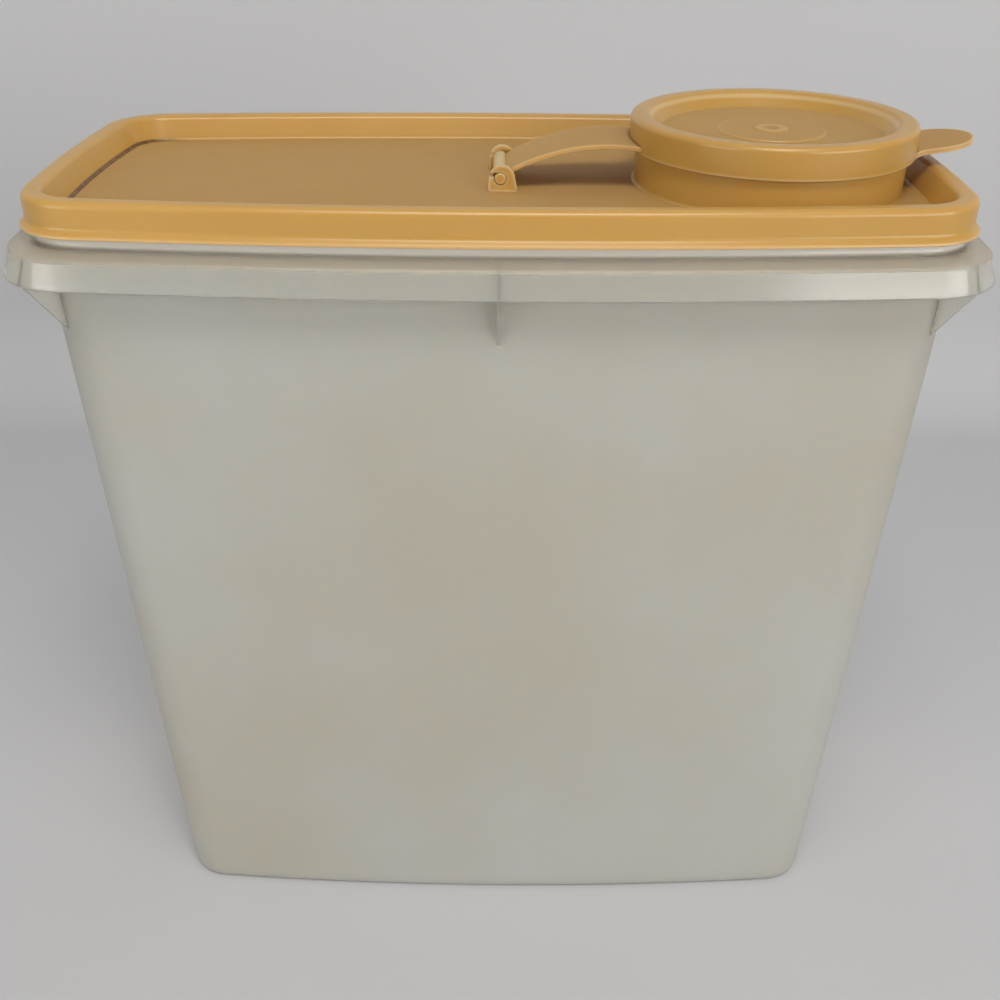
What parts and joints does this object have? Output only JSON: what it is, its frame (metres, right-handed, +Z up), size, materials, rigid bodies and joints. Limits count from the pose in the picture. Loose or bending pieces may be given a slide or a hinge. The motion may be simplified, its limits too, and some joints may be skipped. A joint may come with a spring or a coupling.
{
  "type": "cereal container",
  "caption": "Tall narrow food container with bowed tapering sides, an apron with fins under the rim, a press-on lid and a round flip cap on a hinged strap over its pouring spout.",
  "frame": {"origin": "middle of the flat underside of the tub, where it rests", "axes": "+X along the length towards the spout, +Y across towards the far long side, +Z up"},
  "size_m": [0.2541, 0.1208, 0.2504],
  "materials": {
    "tub_plastic": "milky translucent polyethylene, satin",
    "lid_plastic": "ochre polyethylene, satin"
  },
  "bodies": {
    "container": {"container": "tub_plastic"},
    "lid": {"lid": "lid_plastic"},
    "flip_cap": {"flip_cap": "lid_plastic"}
  },
  "joints": [
    {"name": "lid_lift", "type": "slide", "parent": "container", "child": "lid", "axis": [0, 0, 1], "range_m": [0, 0.08]},
    {"name": "cap_flip", "type": "hinge", "parent": "lid", "child": "flip_cap", "pos_m": [0, 0, 0.2357], "axis": [0, -1, 0], "range_deg": [0, 155]}
  ]
}
